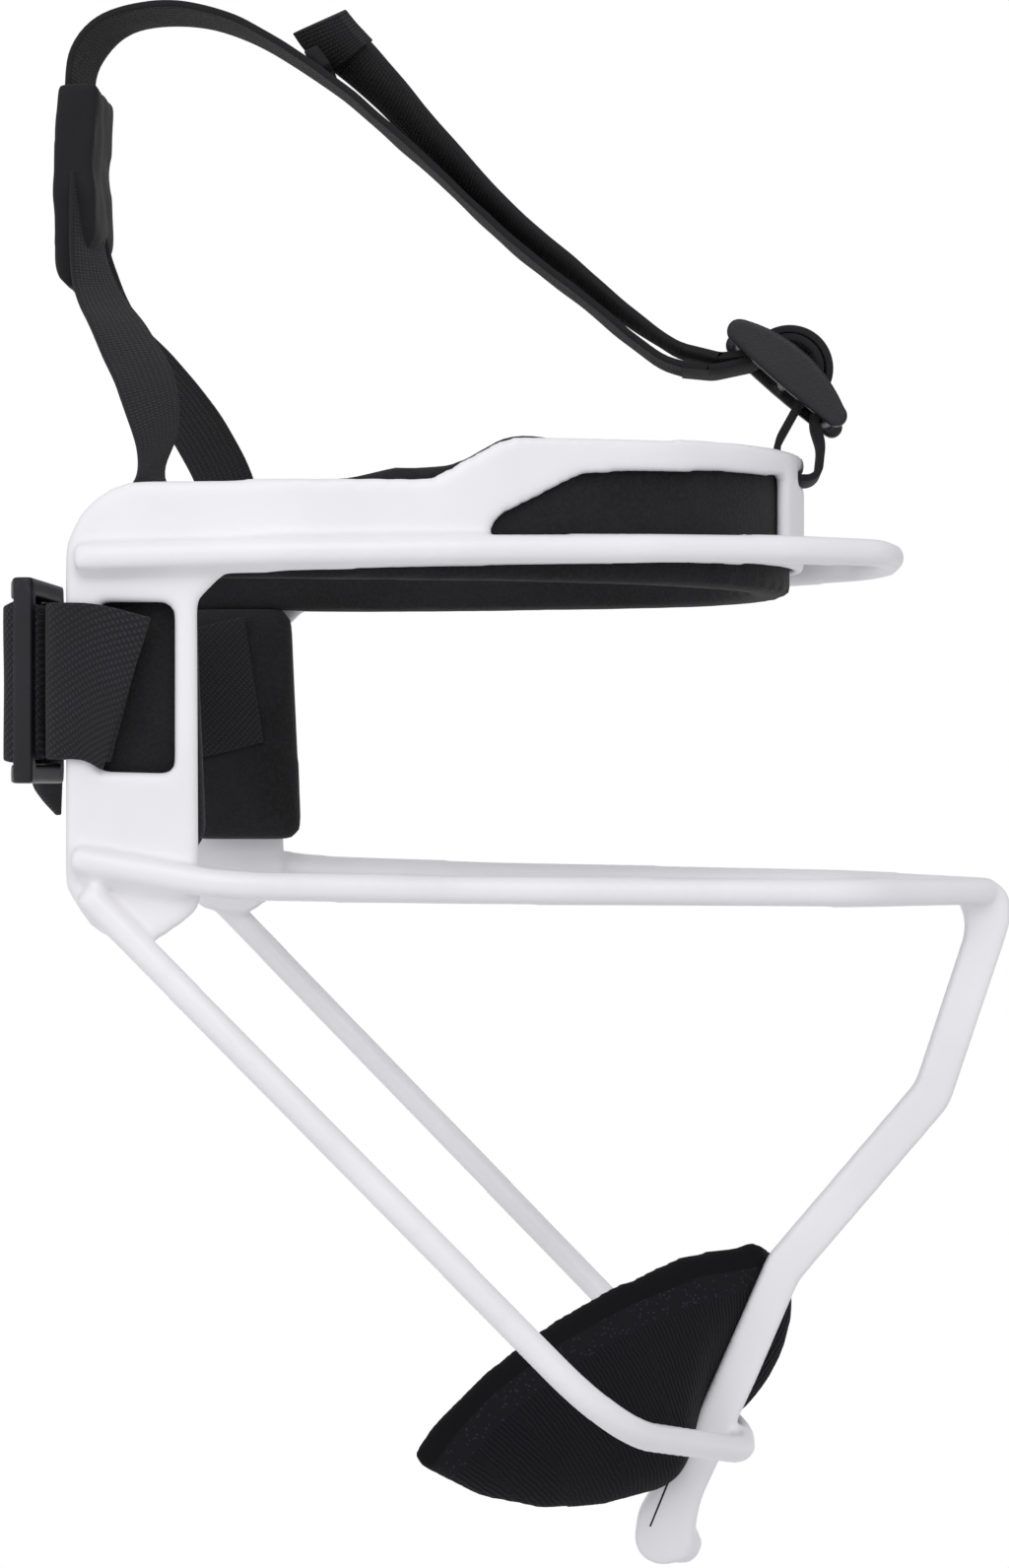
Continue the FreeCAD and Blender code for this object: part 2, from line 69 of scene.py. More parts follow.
def add(tree, kind, links=None, **settings):
    """Adds one node; settings are attributes or sockets, links are socket: output."""
    node = tree.nodes.new(kind)
    for key, value in settings.items():
        if hasattr(node, key):
            setattr(node, key, value)
        else:
            node.inputs[key.replace("_", " ")].default_value = value
    for key, output in (links or {}).items():
        tree.links.new(output, node.inputs[key])
    return node


def blank(name):
    """A new material with only its shader and output."""
    material = bpy.data.materials.new(name)
    material.use_nodes = True
    tree = material.node_tree
    tree.nodes.clear()
    shader = add(tree, "ShaderNodeBsdfPrincipled")
    output = add(tree, "ShaderNodeOutputMaterial")
    tree.links.new(shader.outputs[0], output.inputs[0])
    return material, tree, shader


def deselect():
    """Leaves edit mode and selects nothing."""
    if bpy.context.object and bpy.context.object.mode != "OBJECT":
        bpy.ops.object.mode_set(mode="OBJECT")
    bpy.ops.object.select_all(action="DESELECT")


def activate(obj):
    """Makes one object the only selected and the active one."""
    deselect()
    obj.select_set(True)
    bpy.context.view_layer.objects.active = obj


def modify(obj, kind, **settings):
    """Adds one modifier and applies it."""
    activate(obj)
    modifier = obj.modifiers.new(kind.title(), kind)
    for key, value in settings.items():
        setattr(modifier, key, value)
    bpy.ops.object.modifier_apply(modifier=modifier.name)


def paint(obj, material):
    """Gives an object one material."""
    obj.data.materials.clear()
    obj.data.materials.append(material)


def smooth(obj, degrees=40):
    """Smooth shading, with edges sharper than the angle kept sharp."""
    activate(obj)
    bpy.ops.object.shade_smooth_by_angle(angle=math.radians(degrees))


def place(obj, name, material, slot, *nodes, body="guard"):
    """Names a finished piece, paints it, and lets it stand for its CAD nodes."""
    activate(obj)
    bpy.ops.object.transform_apply(location=True, rotation=True, scale=True)
    obj.name = name
    obj.data.name = name
    paint(obj, material)
    if body:
        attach(obj, body)
    if nodes:
        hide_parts(*nodes)
    return obj


def copy_node(node):
    """A merged copy of a CAD node, to be finished as a piece of its own."""
    obj = NODES[node].copy()
    obj.data = NODES[node].data.copy()
    for key in list(obj.keys()):
        del obj[key]
    obj.parent = None
    obj.matrix_world = Matrix.Identity(4)
    bpy.context.scene.collection.objects.link(obj)
    activate(obj)
    bpy.ops.object.mode_set(mode="EDIT")
    bpy.ops.mesh.select_all(action="SELECT")
    bpy.ops.mesh.remove_doubles(threshold=0.00002)
    bpy.ops.mesh.normals_make_consistent(inside=False)
    bpy.ops.object.mode_set(mode="OBJECT")
    return obj


def flow(stations, count):
    """Smooth run through stations, each (centre, half width vector) in millimetres."""
    pts = [(Vector(c), Vector(h)) for c, h in stations]
    lengths = [0.0]
    for a, b in zip(pts, pts[1:]):
        lengths.append(lengths[-1] + (b[0] - a[0]).length)
    out = []
    for i in range(count):
        d = lengths[-1] * i / (count - 1)
        k = max(j for j in range(len(pts) - 1) if lengths[j] <= d + 1e-9)
        t = (d - lengths[k]) / (lengths[k + 1] - lengths[k])
        row = []
        for part in (0, 1):
            p1, p2 = pts[k][part], pts[k + 1][part]
            p0 = pts[k - 1][part] if k else p1 * 2 - p2
            p3 = pts[k + 2][part] if k + 2 < len(pts) else p2 * 2 - p1
            l0 = lengths[k] - lengths[k - 1] if k else lengths[k + 1] - lengths[k]
            l1 = lengths[k + 1] - lengths[k]
            l2 = lengths[k + 2] - lengths[k + 1] if k + 2 < len(pts) else l1
            m1 = ((p1 - p0) / l0 + (p2 - p1) / l1) * 0.5 * l1
            m2 = ((p2 - p1) / l1 + (p3 - p2) / l2) * 0.5 * l1
            t2, t3 = t * t, t * t * t
            row.append(p1 * (2 * t3 - 3 * t2 + 1) + m1 * (t3 - 2 * t2 + t)
                       + p2 * (-2 * t3 + 3 * t2) + m2 * (t3 - t2))
        out.append(row)
    return out, lengths[-1]


def strap(stations, thick, rows=60, across=8, cup=0.0, ripple=0.0, seed=1.0):
    """Flat webbing through the stations: a grid laid along the run, then given its thickness."""
    deselect()
    run, length = flow(stations, rows + 1)
    bpy.ops.mesh.primitive_grid_add(x_subdivisions=rows, y_subdivisions=across, size=2,
                                    calc_uvs=True)
    obj = bpy.context.object
    width = 2 * run[0][1].length
    uv = obj.data.uv_layers.active.data
    for loop in obj.data.loops:
        u, v = uv[loop.index].uv
        uv[loop.index].uv = (u * length * MM, v * width * MM)
    for vertex in obj.data.vertices:
        i = round((vertex.co.x + 1) / 2 * rows)
        s = vertex.co.y
        centre, half = run[i]
        ahead = run[min(i + 1, rows)][0] - run[max(i - 1, 0)][0]
        normal = ahead.cross(half).normalized()
        lift = cup * (1 - s * s) * thick
        lift += ripple * noise.noise(Vector((i * length / rows / 9, s * 1.3, seed)))
        vertex.co = (centre + half * s + normal * lift) * MM
    modify(obj, "SOLIDIFY", thickness=thick * MM, offset=0, use_even_offset=True)
    modify(obj, "BEVEL", width=thick * 0.3 * MM, segments=2, limit_method="ANGLE",
           angle_limit=math.radians(50))
    smooth(obj, 50)
    return obj


def joined(parts):
    """Several objects made one."""
    deselect()
    for p in parts:
        p.select_set(True)
    bpy.context.view_layer.objects.active = parts[0]
    bpy.ops.object.join()
    return bpy.context.object


# upper ends of the jaw wire on the plates, where the coat fills the corner
WELDS = ((-6.9, 75, -38.9), (-4.0, 75, -42.0))
WELD_REACH = 8
RIVET_SINK = 0.6
COAT_BUILD = 0.24
# rim of the chin pad, from its near rear corner round the front to the far rear corner
CHIN_RIM = ((55.3, -40.0, -162.2), (60.4, -38.0, -156.0), (69.4, -34.0, -147.2),
            (82.6, -27.0, -137.8), (97.9, -18.0, -130.2), (114.4, -9.0, -124.2),
            (130.5, 0.0, -122.6), (134.5, 13.0, -127.5), (131.0, 25.0, -130.5),
            (119.0, 36.0, -137.0), (103.0, 43.0, -147.0), (88.0, 46.0, -155.0))


def nearest(line, point):
    """How far along a line of points its nearest spot lies, and how far off that is."""
    best = (0.0, 1.0)
    done = 0.0
    for a, b in zip(line, line[1:]):
        t = max(0, min(1, (point - a).dot(b - a) / (b - a).length_squared))
        off = (point - a - (b - a) * t).length
        if off < best[1]:
            best = (done + t * (b - a).length, off)
        done += (b - a).length
    return best


def puff(node, voxel=2.2, shrink=1.0, pressure=4.0, cap=2.5, steps=14, rounds=3, soften=0):
    """A cushion: the CAD form remeshed as cloth, blown up a little and smoothed."""
    obj = copy_node(node)
    modify(obj, "REMESH", mode="VOXEL", voxel_size=voxel * MM, adaptivity=0)
    if soften:
        modify(obj, "SMOOTH", factor=0.5, iterations=soften)
    modify(obj, "DISPLACE", strength=-shrink * MM, mid_level=0)
    start = [v.co.copy() for v in obj.data.vertices]
    activate(obj)
    cloth = obj.modifiers.new("Cloth", "CLOTH")
    cloth.settings.use_pressure = True
    cloth.settings.uniform_pressure_force = pressure
    cloth.settings.effector_weights.gravity = 0
    cloth.settings.tension_stiffness = 12
    cloth.settings.compression_stiffness = 12
    cloth.settings.bending_stiffness = 1.5
    cloth.settings.quality = 5
    cloth.point_cache.frame_start = 1
    cloth.point_cache.frame_end = steps
    scene = bpy.context.scene
    for f in range(1, steps + 1):
        scene.frame_set(f)
    bpy.ops.object.modifier_apply(modifier=cloth.name)
    scene.frame_set(1)
    for v, s in zip(obj.data.vertices, start):
        move = v.co - s
        if move.length > cap * MM:
            v.co = s + move.normalized() * cap * MM
    modify(obj, "SMOOTH", factor=0.5, iterations=rounds)
    return obj


# Materials

def wave_scale(period_mm):
    """Scale of a wave node whose bands lie period_mm apart: one period is 2 pi / (20 * scale)."""
    return 2 * math.pi / (20 * period_mm * MM)


def powder_coat(colour):
    """White polyester powder coat on steel: thick and semi-gloss, softened edges, fine orange peel."""
    material, tree, shader = blank("white_powder_coat")
    spot = add(tree, "ShaderNodeTexCoord").outputs["Object"]
    peel = add(tree, "ShaderNodeTexNoise", {"Vector": spot}, Scale=520.0, Detail=2.0)
    cloud = add(tree, "ShaderNodeTexNoise", {"Vector": spot}, Scale=28.0, Detail=3.0)
    tint = add(tree, "ShaderNodeValToRGB", {"Fac": cloud.outputs["Fac"]})
    tint.color_ramp.elements[0].position = 0.3
    tint.color_ramp.elements[0].color = linear("ECEBED")
    tint.color_ramp.elements[1].position = 0.7
    tint.color_ramp.elements[1].color = colour
    rough = add(tree, "ShaderNodeMapRange", {"Value": cloud.outputs["Fac"]})
    rough.inputs["To Min"].default_value = 0.30
    rough.inputs["To Max"].default_value = 0.42
    bump = add(tree, "ShaderNodeBump", {"Height": peel.outputs["Fac"]}, Strength=0.05)
    bump.inputs["Distance"].default_value = 0.0003
    tree.links.new(tint.outputs[0], shader.inputs["Base Color"])
    tree.links.new(rough.outputs[0], shader.inputs["Roughness"])
    tree.links.new(bump.outputs[0], shader.inputs["Normal"])
    shader.inputs["IOR"].default_value = 1.5
    return material


def moulded_nylon(colour):
    """Black moulded nylon: satin, with a fine spark-eroded grain and soft clouding."""
    material, tree, shader = blank("black_moulded_nylon")
    spot = add(tree, "ShaderNodeTexCoord").outputs["Object"]
    grain = add(tree, "ShaderNodeTexNoise", {"Vector": spot}, Scale=1800.0, Detail=3.0)
    cloud = add(tree, "ShaderNodeTexNoise", {"Vector": spot}, Scale=90.0, Detail=3.0)
    tint = add(tree, "ShaderNodeValToRGB", {"Fac": cloud.outputs["Fac"]})
    tint.color_ramp.elements[0].color = colour
    tint.color_ramp.elements[1].color = linear("1F1F25")
    bump = add(tree, "ShaderNodeBump", {"Height": grain.outputs["Fac"]}, Strength=0.25)
    bump.inputs["Distance"].default_value = 0.0002
    tree.links.new(tint.outputs[0], shader.inputs["Base Color"])
    tree.links.new(bump.outputs[0], shader.inputs["Normal"])
    shader.inputs["Roughness"].default_value = 0.4
    shader.inputs["Specular IOR Level"].default_value = 0.32
    return material


def woven(name, dark, light, rib_mm, slope, wale_mm):
    """Woven black elastic or webbing: ribs crossed by wales, tilted by slope, with a fuzz."""
    material, tree, shader = blank(name)
    coords = add(tree, "ShaderNodeTexCoord")
    turn = add(tree, "ShaderNodeMapping", {"Vector": coords.outputs["UV"]})
    turn.inputs["Rotation"].default_value = (0, 0, slope)
    ribs = add(tree, "ShaderNodeTexWave", {"Vector": turn.outputs[0]}, Distortion=0.6,
               Detail=2.0)
    ribs.inputs["Scale"].default_value = wave_scale(rib_mm)
    ribs.inputs["Detail Scale"].default_value = 3.0
    cross = add(tree, "ShaderNodeTexWave", {"Vector": turn.outputs[0]}, bands_direction="Y",
                Distortion=1.0)
    cross.inputs["Scale"].default_value = wave_scale(wale_mm)
    height = add(tree, "ShaderNodeMath", {0: ribs.outputs["Fac"], 1: cross.outputs["Fac"]},
                 operation="MULTIPLY")
    fuzz = add(tree, "ShaderNodeTexNoise", {"Vector": coords.outputs["Object"]}, Scale=900.0,
               Detail=4.0)
    cloud = add(tree, "ShaderNodeTexNoise", {"Vector": coords.outputs["Object"]}, Scale=45.0,
                Detail=3.0)
    blend = add(tree, "ShaderNodeMath", {0: height.outputs[0], 1: cloud.outputs["Fac"]},
                operation="MULTIPLY")
    tint = add(tree, "ShaderNodeValToRGB", {"Fac": blend.outputs[0]})
    tint.color_ramp.elements[0].color = dark
    tint.color_ramp.elements[1].position = 0.6
    tint.color_ramp.elements[1].color = light
    mix = add(tree, "ShaderNodeMath", {0: fuzz.outputs["Fac"], 2: height.outputs[0]},
              operation="MULTIPLY_ADD")
    mix.inputs[1].default_value = 0.4
    bump = add(tree, "ShaderNodeBump", {"Height": mix.outputs[0]}, Strength=0.7)
    bump.inputs["Distance"].default_value = 0.0005
    tree.links.new(tint.outputs[0], shader.inputs["Base Color"])
    tree.links.new(bump.outputs[0], shader.inputs["Normal"])
    shader.inputs["Roughness"].default_value = 0.9
    shader.inputs["Sheen Weight"].default_value = 0.05
    shader.inputs["Sheen Roughness"].default_value = 0.5
    return material


def knitted(name, dark, light, cell_mm, depth=0.5):
    """Brushed black knit over foam: small irregular loops, a fine nap and soft clouding."""
    material, tree, shader = blank(name)
    spot = add(tree, "ShaderNodeTexCoord").outputs["Object"]
    cells = add(tree, "ShaderNodeTexVoronoi", {"Vector": spot}, Scale=1 / (cell_mm * MM))
    nap = add(tree, "ShaderNodeTexNoise", {"Vector": spot}, Scale=1400.0, Detail=3.0)
    cloud = add(tree, "ShaderNodeTexNoise", {"Vector": spot}, Scale=60.0, Detail=4.0)
    mixed = add(tree, "ShaderNodeMath", {0: cells.outputs["Distance"], 1: nap.outputs["Fac"]},
                operation="MULTIPLY")
    tone = add(tree, "ShaderNodeMath", {0: mixed.outputs[0], 1: cloud.outputs["Fac"]},
               operation="ADD")
    tint = add(tree, "ShaderNodeValToRGB", {"Fac": tone.outputs[0]})
    tint.color_ramp.elements[0].position = 0.45
    tint.color_ramp.elements[0].color = dark
    tint.color_ramp.elements[1].position = 0.95
    tint.color_ramp.elements[1].color = light
    bump = add(tree, "ShaderNodeBump", {"Height": mixed.outputs[0]}, Strength=depth)
    bump.inputs["Distance"].default_value = 0.0004
    tree.links.new(tint.outputs[0], shader.inputs["Base Color"])
    tree.links.new(bump.outputs[0], shader.inputs["Normal"])
    shader.inputs["Roughness"].default_value = 0.95
    shader.inputs["Sheen Weight"].default_value = 0.05
    return material


# how far the edge binding and the mesh strip of the chin pad reach from its rim
BINDING = 4.4
MESH_END = 9.6


def chin_cover(dark, light, dots):
    """Chin pad cover: smooth edge binding, a dotted mesh strip below it, then a ribbed knit."""
    material, tree, shader = blank("chin_pad_cover")
    coords = add(tree, "ShaderNodeTexCoord")
    parts = add(tree, "ShaderNodeSeparateXYZ", {0: coords.outputs["UV"]})
    from_rim = parts.outputs["Y"]
    turn = add(tree, "ShaderNodeMapping", {"Vector": coords.outputs["UV"]})
    turn.inputs["Rotation"].default_value = (0, 0, 0.12)
    wales = add(tree, "ShaderNodeTexWave", {"Vector": turn.outputs[0]}, Distortion=3.5, Detail=3.0)
    wales.inputs["Scale"].default_value = wave_scale(0.95)
    cells = add(tree, "ShaderNodeTexVoronoi", {"Vector": coords.outputs["UV"]},
                Scale=1 / (1.0 * MM))
    dot = add(tree, "ShaderNodeMath", {0: cells.outputs["Distance"]}, operation="LESS_THAN")
    dot.inputs[1].default_value = 0.24
    past_band = add(tree, "ShaderNodeMath", {0: from_rim}, operation="GREATER_THAN")
    past_band.inputs[1].default_value = BINDING * MM
    past_strip = add(tree, "ShaderNodeMath", {0: from_rim}, operation="GREATER_THAN")
    past_strip.inputs[1].default_value = MESH_END * MM
    strip = add(tree, "ShaderNodeMath", {0: past_band.outputs[0], 1: past_strip.outputs[0]},
                operation="SUBTRACT")
    spots = add(tree, "ShaderNodeMath", {0: dot.outputs[0], 1: strip.outputs[0]},
                operation="MULTIPLY")
    ribs = add(tree, "ShaderNodeMath", {0: wales.outputs["Fac"], 1: past_strip.outputs[0]},
               operation="MULTIPLY")
    paler = add(tree, "ShaderNodeMath", {0: strip.outputs[0], 2: ribs.outputs[0]},
                operation="MULTIPLY_ADD")
    paler.inputs[1].default_value = 0.6
    cloth = add(tree, "ShaderNodeMixRGB", {"Fac": paler.outputs[0]})
    cloth.inputs["Color1"].default_value = dark
    cloth.inputs["Color2"].default_value = light
    final = add(tree, "ShaderNodeMixRGB", {"Fac": spots.outputs[0], "Color1": cloth.outputs[0]})
    final.inputs["Color2"].default_value = dots
    raised = add(tree, "ShaderNodeMath", {0: ribs.outputs[0], 1: past_band.outputs[0]},
                 operation="SUBTRACT")
    height = add(tree, "ShaderNodeMath", {0: raised.outputs[0], 1: past_strip.outputs[0]},
                 operation="ADD")
    bump = add(tree, "ShaderNodeBump", {"Height": height.outputs[0]}, Strength=0.5)
    bump.inputs["Distance"].default_value = 0.0005
    tree.links.new(final.outputs[0], shader.inputs["Base Color"])
    tree.links.new(bump.outputs[0], shader.inputs["Normal"])
    shader.inputs["Roughness"].default_value = 0.9
    shader.inputs["Sheen Weight"].default_value = 0.02
    shader.inputs["Specular IOR Level"].default_value = 0.2
    return material


def colour_setting(name, description, hex_colour):
    """A colour property with its default from an sRGB hex."""
    return bpy.props.FloatVectorProperty(name=name, description=description, size=4, min=0, max=1,
                                         subtype="COLOR", default=linear(hex_colour))


class GuardSettings(bpy.types.PropertyGroup):
    """Sizes and colours of the finished pieces."""
    coat_colour: colour_setting("Coat", "Powder coat of the cage", "F3F2F4")
    fabric_dark: colour_setting("Fabric shade", "Dark side of the webbing and elastic", "121114")
    fabric_light: colour_setting("Webbing light", "Light side of the webbing", "28262B")
    elastic_light: colour_setting("Elastic light", "Light side of the rear elastic", "322F36")
    knit_dark: colour_setting("Knit shade", "Dark side of the pad cloth", "0B0A0C")
    knit_light: colour_setting("Knit light", "Light side of the pad cloth", "1B1A1D")
    nylon_colour: colour_setting("Nylon", "Moulded sliders", "131317")
    coat_step: bpy.props.FloatProperty(
        name="Coat step", description="Step at which the coat flows over edges and welds",
        default=0.9 * MM, subtype="DISTANCE", unit="LENGTH")
    webbing: bpy.props.FloatProperty(
        name="Webbing thickness", description="Thickness of the top webbing",
        default=1.5 * MM, subtype="DISTANCE", unit="LENGTH")
    elastic: bpy.props.FloatProperty(
        name="Elastic thickness", description="Thickness of the rear elastic",
        default=1.6 * MM, subtype="DISTANCE", unit="LENGTH")


def settings():
    """The sizes and colours that the panel shows."""
    return bpy.context.scene.face_guard


STORE = {}


def finish(name):
    """The materials, made once and shared."""
    if not STORE:
        s = settings()
        STORE["coat"] = powder_coat(s.coat_colour)
        STORE["nylon"] = moulded_nylon(s.nylon_colour)
        STORE["elastic"] = woven("twill_elastic", s.fabric_dark, s.elastic_light, 0.8, 0.62, 1.2)
        STORE["webbing"] = woven("ribbed_webbing", s.fabric_dark, s.fabric_light, 0.9, 0.0, 1.6)
        STORE["knit"] = knitted("brushed_knit", s.knit_dark, s.knit_light, 0.8)
        STORE["chin"] = chin_cover(linear("0A090C"), linear("1A181D"), linear("2B2930"))
    return STORE[name]


# Pieces

class GUARD_OT_cage(bpy.types.Operator):
    """Melts the cage parts and the flush rivets into one coated piece"""
    bl_idname = "guard.cage"
    bl_label = "Coated cage"

    def execute(self, context):
        coat = finish("coat")
        parts = ("brow_band", "left_side_plate", "right_side_plate", "visor_wire", "cheek_wire",
                 "jaw_wire", "centre_bar", "bar_end_knob", "left_cheek_weld", "right_cheek_weld",
                 "left_jaw_weld", "right_jaw_weld", "left_visor_weld", "right_visor_weld")
        rivets = [copy_node(node) for node in ("left_rivet", "right_rivet")]
        for rivet, inward in zip(rivets, (-RIVET_SINK, RIVET_SINK)):
            for v in rivet.data.vertices:
                v.co.y += inward * MM
        cage = joined([copy_node(node) for node in parts] + rivets)
        modify(cage, "REMESH", mode="VOXEL", voxel_size=settings().coat_step)
        modify(cage, "SMOOTH", factor=0.5, iterations=11)
        modify(cage, "DISPLACE", strength=COAT_BUILD * MM, mid_level=0)
        welds = cage.vertex_groups.new(name="welds")
        for v in cage.data.vertices:
            spot = Vector((v.co.x, abs(v.co.y), v.co.z)) / MM
            near = min((spot - Vector(p)).length for p in WELDS)
            if near < WELD_REACH:
                welds.add([v.index], min(1, 2 - near * 2 / WELD_REACH), "REPLACE")
        modify(cage, "SMOOTH", factor=0.5, iterations=14, vertex_group="welds")
        cage.vertex_groups.clear()
        smooth(cage, 80)
        place(cage, "coated_cage", coat, "white", "left_rivet", "right_rivet", *parts)
        return {"FINISHED"}


class GUARD_OT_pads(bpy.types.Operator):
    """Makes the forehead, side and chin cushions from their CAD forms"""
    bl_idname = "guard.pads"
    bl_label = "Cushions"

    def execute(self, context):
        for node in ("forehead_pad", "left_side_pad", "right_side_pad"):
            obj = puff(node, shrink=0.2, voxel=2.0, cap=0.8)
            if node != "forehead_pad":
                for v in obj.data.vertices:
                    v.co.z += max(0, v.co.z - 0.012) * 0.14
            else:
                for v in obj.data.vertices:
                    x = v.co.x / MM
                    rise = max(0, min(1, (x - 43) / 10)) * max(0, min(1, (92 - x) / 10))
                    v.co.z += 2.0 * MM * rise * max(0, min(1, (v.co.z / MM - 34) / 6))
            smooth(obj, 80)
            place(obj, node + "_cushion", finish("knit"), "pad", node)
        obj = puff("chin_pad", shrink=-1.1, voxel=1.0, cap=1.2, rounds=24, soften=34)
        rim = [Vector(p) * MM for p in CHIN_RIM]
        spans = []
        for v in obj.data.vertices:
            x, y, z = v.co / MM
            foot = math.exp(-((x - 107) ** 2 + (z + 167) ** 2) / 98) * (1 if y < 4 else 0)
            fall = max(0, min(1, (-142 - z) / 16)) * max(0, min(1, (y - 3) / 5)) * (x > 105)
            v.co += Vector((3.4 * foot - 1.0 * fall, 0, -3.4 * foot - 5.0 * fall)) * MM
            spans.append(nearest(rim, v.co))
        uv = obj.data.uv_layers.new(name="rim").data
        for loop in obj.data.loops:
            uv[loop.index].uv = spans[loop.vertex_index]
        smooth(obj, 80)
        place(obj, "chin_pad_cushion", finish("chin"), "chin", "chin_pad")
        deselect()
        obj = copy_node("chin_pad_strap")
        for v in obj.data.vertices:
            if v.co.y < -0.0024:
                v.co.y = -0.00325
        place(obj, "chin_webbing_end", finish("webbing"), "chin", "chin_pad_strap")
        return {"FINISHED"}


class GUARD_OT_rear_elastic(bpy.types.Operator):
    """Makes the rear elastic, its window ends and its loose run"""
    bl_idname = "guard.rear_elastic"
    bl_label = "Rear elastic"

    def execute(self, context):
        thick = settings().elastic / MM
        up = (0, 0, 16)
        y, x, z = 75.7, -17.9, 2.1  # half span, rear line and middle height of the elastic
        half = [((-1.2, -y, -0.6), (5.0, 0, 15.6)), ((-9.0, -y, 1.8), (1.2, 0, 16)),
                ((-13.6, -y, 2.1), up), ((-16.6, -y + 0.9, z), up), ((x, -y + 4, z), up),
                ((x, -60, z), up), ((x, -30, z), up), ((x, 0, z), up)]
        whole = half + [((c[0], -c[1], c[2]), h) for c, h in reversed(half[:-1])]
        obj = strap(whole, thick, rows=150, across=10, ripple=0.25)
        place(obj, "rear_elastic", finish("elastic"), "elastic", "rear_strap")
        for side, node in ((-1, "right_strap_tab"), (1, "left_strap_tab")):
            run = [((-2.2, side * 74.6, -0.8), (4.0, 0, 13.6)),
                   ((-2.0, side * 73.2, -0.8), (3.6, 0, 13.6)),
                   ((-3.4, side * 71.4, -0.6), (2.6, 0, 13.6)),
                   ((-5.4, side * 70.9, -0.4), (1.2, 0, 13.6)),
                   ((-11.6, side * 70.9, -0.3), (0, 0, 13.6))]
            tab = strap(run, 1.3, rows=24, across=8)
            if side > 0:
                end = [((7.6, 59.3, 6.5), (-2.4, 0, 15.3)), ((-1.0, 59.2, 4.4), (-2.4, 0, 15.4)),
                       ((-9.4, 59.4, 2.4), (-1.6, 0, 15.4))]
                tab = joined([tab, strap(end, 1.4, rows=16, across=8)])
            place(tab, "elastic_end_" + ("right" if side < 0 else "left"), finish("elastic"),
                  "elastic", node)
        run = [((-20.0, -67.6, 2.1), (0, 0, 16)), ((-21.4, -66.4, 2.1), (0, 0, 16)),
               ((-24.8, -62.8, 2.5), (0, 0, 17.2)), ((-28.9, -59.4, 2.1), (0, 0, 16.4)),
               ((-29.6, -56.5, 2.1), (0, 0, 16)), ((-29.6, -53.0, 2.1), (0, 0, 16)),
               ((-28.9, -49.9, 2.1), (0, 0, 16.4)), ((-24.8, -46.6, 2.5), (0, 0, 17.2)),
               ((-21.4, -42.6, 1.6), (0, 0, 16)), ((-23.8, -36.0, 0.4), (0, 0.4, 16)),
               ((-27.6, -29.0, -1.4), (0, 0.8, 16)), ((-30.2, -21.0, -3.4), (0, 1.2, 16)),
               ((-30.0, -12.0, -6.6), (0, 2.0, 15.8)), ((-28.4, -2.0, -11.0), (0, 3.0, 15.2))]
        tail = strap(run, thick, rows=110, across=10, ripple=0.15, seed=4.0)
        place(tail, "rear_elastic_end", finish("elastic"), "elastic", "rear_strap_tail",
              body="rear_slider")
        return {"FINISHED"}


class GUARD_OT_rear_slider(bpy.types.Operator):
    """Rounds and paints the rear three-bar slider"""
    bl_idname = "guard.rear_slider"
    bl_label = "Rear slider"

    def execute(self, context):
        obj = copy_node("rear_slider")
        modify(obj, "REMESH", mode="VOXEL", voxel_size=0.6 * MM)
        modify(obj, "SMOOTH", factor=0.5, iterations=5)
        smooth(obj, 60)
        place(obj, "rear_slider_moulded", finish("nylon"), "plastic", "rear_slider",
              body="rear_slider")
        return {"FINISHED"}


class GUARD_OT_crown(bpy.types.Operator):
    """Makes the two crown elastics and the sewn sleeve"""
    bl_idname = "guard.crown"
    bl_label = "Crown elastics"

    def execute(self, context):
        near = [((2.0, -70.9, 31.4), (8.6, 0, 0)), ((2.0, -70.4, 37.6), (7.6, 0.6, 0)),
                ((1.5, -66.4, 42.6), (3.2, 4.4, 1.4)), ((1.9, -54.0, 53.0), (3.1, 7.4, 3.4)),
                ((-2.6, -42.0, 66.6), (4.8, 7.4, 2.1)), ((-10.2, -29.0, 79.6), (4.5, 8.0, 1.5)),
                ((-18.8, -14.0, 93.0), (3.0, 8.6, 1.0)), ((-23.6, -3.4, 118.0), (0.4, 9.0, 0))]
        far = [((2.0, 70.9, 31.4), (8.6, 0, 0)), ((1.6, 70.2, 40.0), (8.2, -0.8, 0.6)),
               ((0.0, 66.6, 53.5), (6.9, -4.6, 2.4)), ((-4.4, 59.0, 64.3), (6.2, -5.4, 3.2)),
               ((-12.4, 45.0, 77.3), (5.2, -6.6, 3.2)), ((-18.6, 29.0, 87.0), (4.0, -7.8, 2.0)),
               ((-20.2, 14.0, 98.0), (2.4, -8.6, 1.0)), ((-22.0, 3.4, 118.0), (0.4, -9.0, 0))]
        right = strap(near, 1.2, rows=70, across=8, ripple=0.2)
        left = strap(far, 1.2, rows=70, across=8, ripple=0.2, seed=3.0)
        place(right, "crown_elastic_right", finish("webbing"), "webbing", "right_crown_elastic")
        place(left, "crown_elastic_left", finish("webbing"), "webbing", "left_crown_elastic")
        sleeve = copy_node("crown_sleeve")
        modify(sleeve, "REMESH", mode="VOXEL", voxel_size=1.0 * MM)
        modify(sleeve, "SMOOTH", factor=0.6, iterations=8)
        for v in sleeve.data.vertices:
            v.co += v.normal * noise.noise(v.co / MM / 7) * 0.6 * MM
        smooth(sleeve, 80)
        place(sleeve, "crown_sleeve_sewn", finish("webbing"), "webbing", "crown_sleeve")
        return {"FINISHED"}


